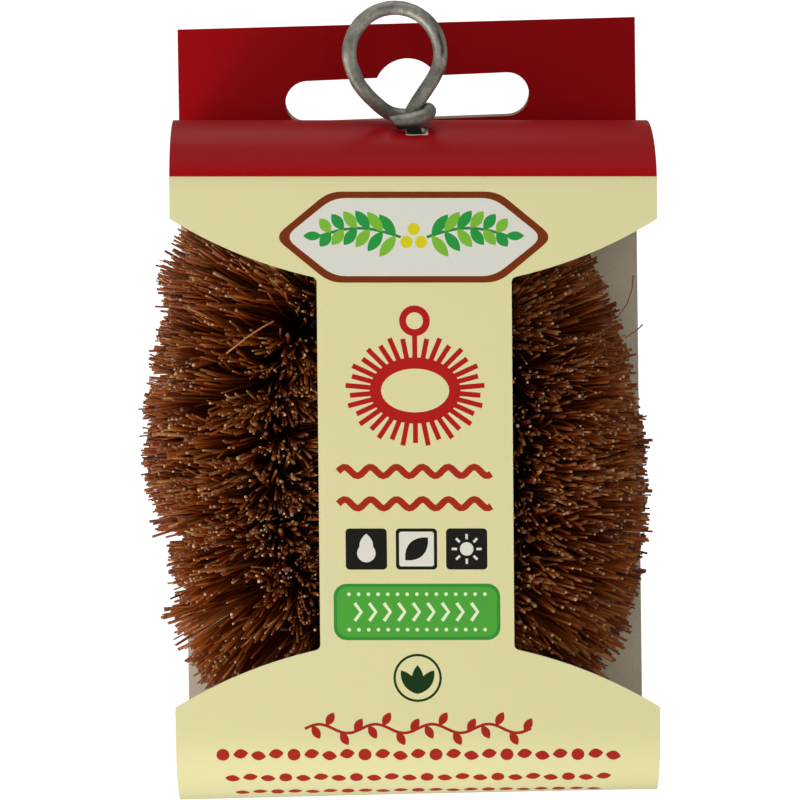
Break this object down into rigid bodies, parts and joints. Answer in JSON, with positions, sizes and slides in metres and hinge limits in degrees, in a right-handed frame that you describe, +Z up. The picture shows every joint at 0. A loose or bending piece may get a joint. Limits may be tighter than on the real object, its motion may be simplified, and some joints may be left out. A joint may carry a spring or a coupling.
{
  "type": "dish brush",
  "caption": "Coir scrub brush on an oval of twisted wire with a hanging eye, held in a folded card sleeve whose header has a hanging slot.",
  "frame": {"origin": "middle of the hanging slot in the sleeve's header, between the header's two card layers", "axes": "+Z up as the pack hangs, -Y out of the printed front panel, +X to the right seen from the front"},
  "size_m": [0.0647, 0.037, 0.0998],
  "materials": {
    "printed_card": "printed red and cream, satin varnish",
    "galvanised_wire": "dull zinc",
    "coir_fibre": "stiff brown fibre, matt"
  },
  "bodies": {
    "brush_and_front": {"sleeve_wrap": "printed_card", "eye_wire": "galvanised_wire", "core_wire_a": "galvanised_wire", "core_wire_b": "galvanised_wire", "coir_fan_01": "coir_fibre", "coir_fan_02": "coir_fibre", "coir_fan_03": "coir_fibre", "coir_fan_04": "coir_fibre", "coir_fan_05": "coir_fibre", "coir_fan_06": "coir_fibre", "coir_fan_07": "coir_fibre", "coir_fan_08": "coir_fibre", "coir_fan_09": "coir_fibre", "coir_fan_10": "coir_fibre", "coir_fan_11": "coir_fibre", "coir_fan_12": "coir_fibre", "coir_fan_13": "coir_fibre", "coir_fan_14": "coir_fibre", "coir_fan_15": "coir_fibre", "coir_fan_16": "coir_fibre", "coir_fan_17": "coir_fibre", "coir_fan_18": "coir_fibre"},
    "back_card": {"sleeve_back": "printed_card"}
  },
  "joints": [
    {"name": "pack_opening", "type": "hinge", "parent": "brush_and_front", "child": "back_card", "pos_m": [0, 0.0006, -0.0841], "axis": [-1, 0, 0], "range_deg": [0, 100]}
  ]
}
